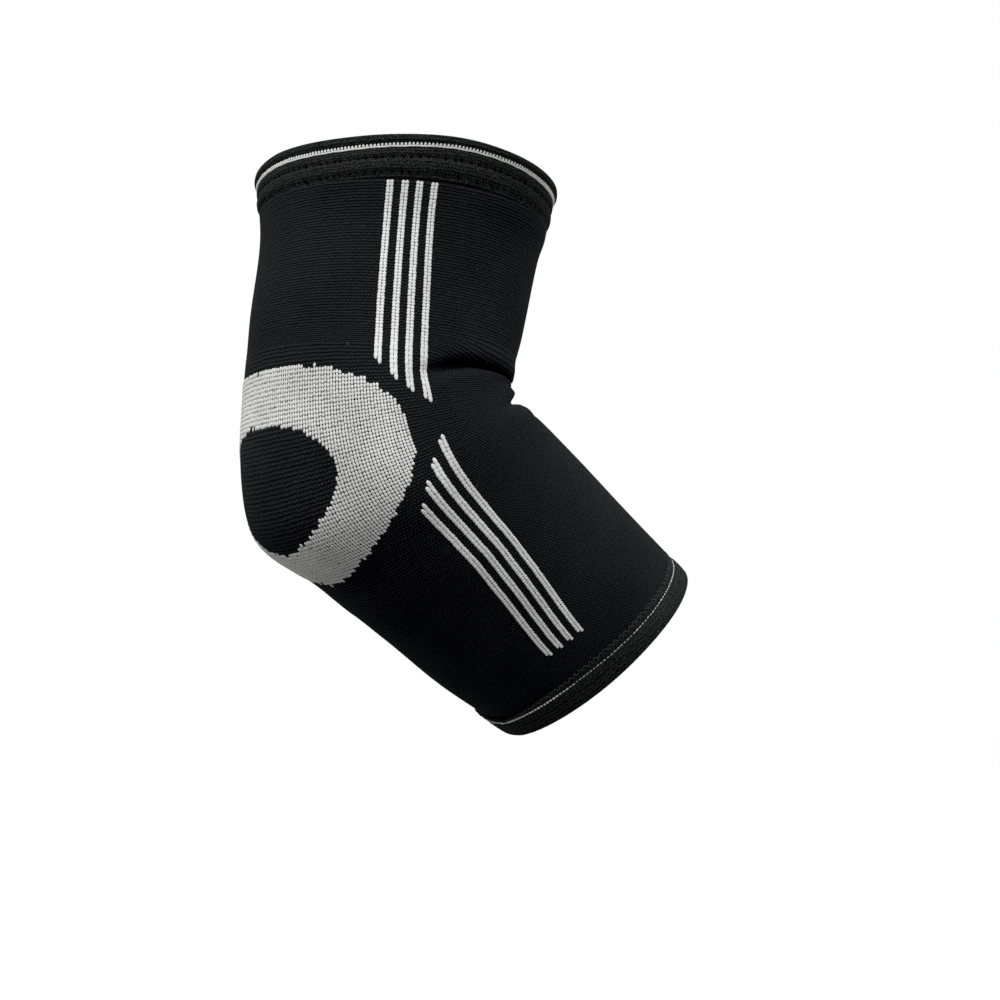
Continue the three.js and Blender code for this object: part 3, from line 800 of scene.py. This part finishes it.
def make_cover_stitch():
    """Zigzag thread above the lower line: a triangle wave that dips into the knit now and then."""
    wales = np.linspace(-1, 1, COVER["columns"], endpoint=False)
    around = np.pi * wales
    zig = np.arcsin(np.sin(around * COVER["zigs"])) / (np.pi / 2)
    dip = COVER["dip"] * np.sin(around * COVER["dips"] + COVER["dip_start"])
    drops, out = bowed(False, wales, COVER["drop"] + COVER["swing"] * zig)
    return strand("cover_stitch", wales, FULL_LENGTH - drops, COVER["height"] + out + dip,
                  COVER["radius"], sides=5)


finish_piece(make_upper_line(), STRIPE_WHITE, "stripe_yarn", "upper_accent_line")
finish_piece(make_upper_yarn(), STRIPE_WHITE, "stripe_yarn")
finish_piece(make_lower_line(), STRIPE_WHITE, "stripe_yarn", "lower_accent_line")
finish_piece(make_cover_stitch(), GREY_THREAD, "cuff")

# Light ring. A stitch's length is a share of the courses' spacing where it lies.

RING_STITCH = dict(width=0.48, length=0.64, height=0.32, sink=0.05)
RING_COURSE = 1.38              # height of a course on the elbow's back
RING_WALE = 0.84 * WALE         # a loop's two legs show as two narrow columns
RING_OFFSET = 0.12              # courses by which every second column lies lower
RING_SPREAD = 0.03              # how much the stitches' sizes and places vary, in mm
RING_WALE_SPREAD = 0.02         # how much they lie to the side, as a share of a column
TEETH_SPREAD = 0.3              # how far the columns' ends lie off the edges, in courses
RING_MARGIN = 2.0               # how far beyond the ring the courses are laid out
RING_STOPS = 200


def inside_edge(edge, wale, distance):
    """True inside a ring edge: across^power + along^power < 1, as shares of its half-axes."""
    across = np.abs(wale) / edge["half"]
    up = (distance_to(RING_AT) - distance) / ELBOW_RADIUS
    along = np.where(up > 0, up / edge["up"], -up / edge["down"])
    power = np.where(up > 0, edge["round_up"], edge["round_down"])
    return across ** power + along ** power < 1.0


def back_length(stops):
    """Length of the fabric along the elbow's back, in mm, from the first distance to each."""
    path = fabric_points(np.zeros(len(stops)), stops, np.zeros(len(stops)))
    steps = np.linalg.norm(np.diff(path, axis=0), axis=1)
    return np.concatenate([[0.0], np.cumsum(steps)]) / MM


def make_ring():
    """Light stitches in wales and courses, kept where they lie between the ring's two edges.

    The courses lie evenly along the elbow's back. Each column's ends lie a little off the edges'
    curves, so the edges have teeth."""
    rng = np.random.default_rng(21)
    half_count = int(RING_OUTER["half"] / RING_WALE) + 2
    wale_numbers = np.arange(-half_count, half_count + 1)
    reach = RING_OUTER["down"] * ELBOW_RADIUS + RING_MARGIN
    stops = distance_to(RING_AT) + np.linspace(-reach, reach, RING_STOPS)
    surface = back_length(stops)
    course_numbers = np.arange(int(surface[-1] / RING_COURSE))
    wales, courses = np.meshgrid(wale_numbers, course_numbers, indexing="ij")
    wale = (wales * RING_WALE).ravel()
    along = ((courses + RING_OFFSET * (wales % 2)) * RING_COURSE).ravel()
    distance = np.interp(along, surface, stops)
    pitch = np.interp(along + RING_COURSE, surface, stops) - distance
    teeth = np.repeat(rng.normal(0, TEETH_SPREAD, len(wale_numbers)), len(course_numbers))
    end = distance + teeth * pitch
    keep = inside_edge(RING_OUTER, wale, end) & ~inside_edge(RING_INNER, wale, end)
    count = np.count_nonzero(keep)
    height = RING_STITCH["height"] + rng.normal(0, RING_SPREAD, count)
    length = RING_STITCH["length"] * pitch[keep] + rng.normal(0, RING_SPREAD, count)
    distance = distance[keep] + rng.normal(0, RING_SPREAD, count)
    wale = wale[keep] + rng.normal(0, RING_WALE_SPREAD * RING_WALE, count)
    return stitch_field("ring_stitches", wale, distance, RING_STITCH["width"], length, height,
                        RING_STITCH["sink"], dome(segments=6, rings=3, power=0.8))


finish_piece(make_ring(), RING_GREY, "ring_yarn", "elbow_ring")

# Light stripes

STRIPE_STITCH = dict(width=0.61, length=0.66, height=0.32, sink=0.05)
STRIPE_COURSE = 0.97            # height of a course
STRIPE_SPREAD = 0.53            # from a stripe's middle to each of its wales, as a share of a wale
STRIPE_WALE_SPREAD = 0.03       # how much the stitches lie to the side, as a share of a wale
STRIPE_PLACE_SPREAD = 0.04      # how much their places and heights vary, in mm
STRIPE_HEIGHT_SPREAD = 0.03
BEND_STRETCH = 0.35             # how much longer the stitches are over the bend
UPPER_FROM = UPPER_HEM + STRIPE_HEM_GAP
FIRST_SEED = 40
LEFT_SEEDS = 10                 # the left side's seeds come this much later
LOWER_SEEDS = 20                # and the lower stretches' this much


def make_stripe(name, wale, start, finish, seed, early, late):
    """Two wales of light stitches from start to finish. The outer one has some more at its ends."""
    rng = np.random.default_rng(seed)
    count = int(round((finish - start) / STRIPE_COURSE))
    step = (finish - start) / count
    inner = np.arange(count) + 0.5
    outer = np.arange(-early, count + late) + 0.5
    offset = math.copysign(STRIPE_SPREAD * WALE, wale)
    wales = np.concatenate([np.full(len(inner), wale - offset), np.full(len(outer), wale + offset)])
    distances = start + np.concatenate([inner, outer]) * step
    total = len(wales)
    wales = wales + rng.normal(0, STRIPE_WALE_SPREAD * WALE, total)
    distances = distances + rng.normal(0, STRIPE_PLACE_SPREAD, total)
    height = STRIPE_STITCH["height"] + rng.normal(0, STRIPE_HEIGHT_SPREAD, total)
    bend_end = UPPER_LENGTH + BEND_LENGTH
    into_bend = np.minimum(distances - UPPER_LENGTH, bend_end - distances) + BEND_MARGIN
    stretch = BEND_STRETCH * np.clip(into_bend / BEND_MARGIN, 0.0, 1.0)
    return stitch_field(name, wales, distances, STRIPE_STITCH["width"],
                        STRIPE_STITCH["length"] * (1.0 + stretch), height, STRIPE_STITCH["sink"],
                        dome(segments=8, rings=3, power=0.7))


for side_name, side in (("right", 1), ("left", -1)):
    for number, row in enumerate(STRIPES, start=1):
        wale = side * row["wale"]
        seed = FIRST_SEED + number + (LEFT_SEEDS if side < 0 else 0)
        upper = make_stripe(f"upper_stripe_stitches_{side_name}_{number}", wale,
                            UPPER_FROM, distance_to(row["upper_to"]), seed, early=0, late=1)
        finish_piece(upper, STRIPE_WHITE, "stripe_yarn", f"upper_stripe_{side_name}_{number}")
        lower = make_stripe(f"lower_stripe_stitches_{side_name}_{number}", wale,
                            distance_to(row["lower_from"]), distance_to(row["lower_to"]),
                            seed + LOWER_SEEDS, early=1, late=1)
        finish_piece(lower, STRIPE_WHITE, "stripe_yarn", f"lower_stripe_{side_name}_{number}")

# Floor, light and camera, in metres and watts

FLOOR = dict(drop=0.30, radius=40.0, sides=96, white=0.93, glow=0.20)
SKY = dict(low=-0.35, high=0.75, below=0.24, above=0.95)
LIGHTS = [
    dict(name="key", place=(-0.75, -0.55, 1.15), size=0.9, power=15.0),
    dict(name="fill", place=(0.35, -1.30, 0.55), size=1.0, power=3.0),
]


def make_floor():
    """A wide plain disc under the brace, seen by the camera alone."""
    bpy.ops.mesh.primitive_circle_add(vertices=FLOOR["sides"], radius=FLOOR["radius"],
                                      fill_type="NGON", location=(0, 0, -FLOOR["drop"]))
    floor = bpy.context.object
    floor.name = "floor"
    material = bpy.data.materials.new("pale floor")
    material.use_nodes = True
    shader = material.node_tree.nodes["Principled BSDF"]
    shader.inputs["Base Color"].default_value = (FLOOR["white"], FLOOR["white"], FLOOR["white"], 1)
    shader.inputs["Roughness"].default_value = 1.0
    shader.inputs["Specular IOR Level"].default_value = 0.0
    shader.inputs["Emission Color"].default_value = (1, 1, 1, 1)
    shader.inputs["Emission Strength"].default_value = FLOOR["glow"]
    floor.data.materials.append(material)
    floor.visible_diffuse = False
    floor.visible_glossy = False


def make_world():
    """White to the camera. On the brace its light is dim from below and bright from above.

    Its strength rises evenly from SKY's below to its above, as the direction's z goes from low to
    high."""
    world = bpy.data.worlds.new("studio")
    bpy.context.scene.world = world
    world.use_nodes = True
    tree = world.node_tree
    background = tree.nodes["Background"]
    places = tree.nodes.new("ShaderNodeTexCoord")
    split = tree.nodes.new("ShaderNodeSeparateXYZ")
    tree.links.new(places.outputs["Generated"], split.inputs[0])
    strength = ramp(tree, split.outputs[2], SKY["low"], SKY["high"], SKY["below"], SKY["above"])
    path = tree.nodes.new("ShaderNodeLightPath")
    seen = math_node(tree, "MAXIMUM", strength, path.outputs["Is Camera Ray"])
    tree.links.new(seen, background.inputs["Strength"])
    background.inputs["Color"].default_value = (1.0, 1.0, 1.0, 1)


def add_light(name, place, size, power):
    """A square soft light at a place, turned towards the brace."""
    data = bpy.data.lights.new(name, "AREA")
    data.size = size
    data.energy = power
    lamp = bpy.data.objects.new(name, data)
    bpy.context.scene.collection.objects.link(lamp)
    lamp.location = place
    x, y, z = np.array(place) / np.linalg.norm(place)
    lamp.rotation_euler = (math.acos(z), 0.0, math.atan2(y, x) + math.pi / 2)


CAMERA_AZIMUTH = math.radians(-33.0)
CAMERA_ELEVATION = math.radians(-8.12)
CAMERA_DISTANCE = 0.6045
FOCAL_PIXELS = 1913.0
ORIGIN_PIXEL = (399.5, 452.0)   # where the photograph shows the origin
IMAGE = 1000.0                  # its width and height in pixels
SENSOR = 36.0                   # millimetres
NEAR = 0.01
BLACK_LEVEL = 0.004             # the photograph's darkest tones are crushed to black


def make_camera():
    """The photograph's camera: it looks at the origin, and the shift puts that on its pixel."""
    data = bpy.data.cameras.new("camera")
    data.sensor_width = SENSOR
    data.lens = FOCAL_PIXELS / IMAGE * SENSOR
    data.shift_x = 0.5 - ORIGIN_PIXEL[0] / IMAGE
    data.shift_y = ORIGIN_PIXEL[1] / IMAGE - 0.5
    data.clip_start = NEAR
    camera = bpy.data.objects.new("camera", data)
    bpy.context.scene.collection.objects.link(camera)
    level = CAMERA_DISTANCE * math.cos(CAMERA_ELEVATION)
    camera.location = (level * math.sin(CAMERA_AZIMUTH), -level * math.cos(CAMERA_AZIMUTH),
                       CAMERA_DISTANCE * math.sin(CAMERA_ELEVATION))
    camera.rotation_euler = (math.pi / 2 - CAMERA_ELEVATION, 0.0, CAMERA_AZIMUTH)
    bpy.context.scene.camera = camera


make_floor()
make_world()
for light in LIGHTS:
    add_light(**light)
make_camera()
view = bpy.context.scene.view_settings
view.view_transform = "Standard"
view.use_curve_mapping = True
view.curve_mapping.black_level = (BLACK_LEVEL, BLACK_LEVEL, BLACK_LEVEL)
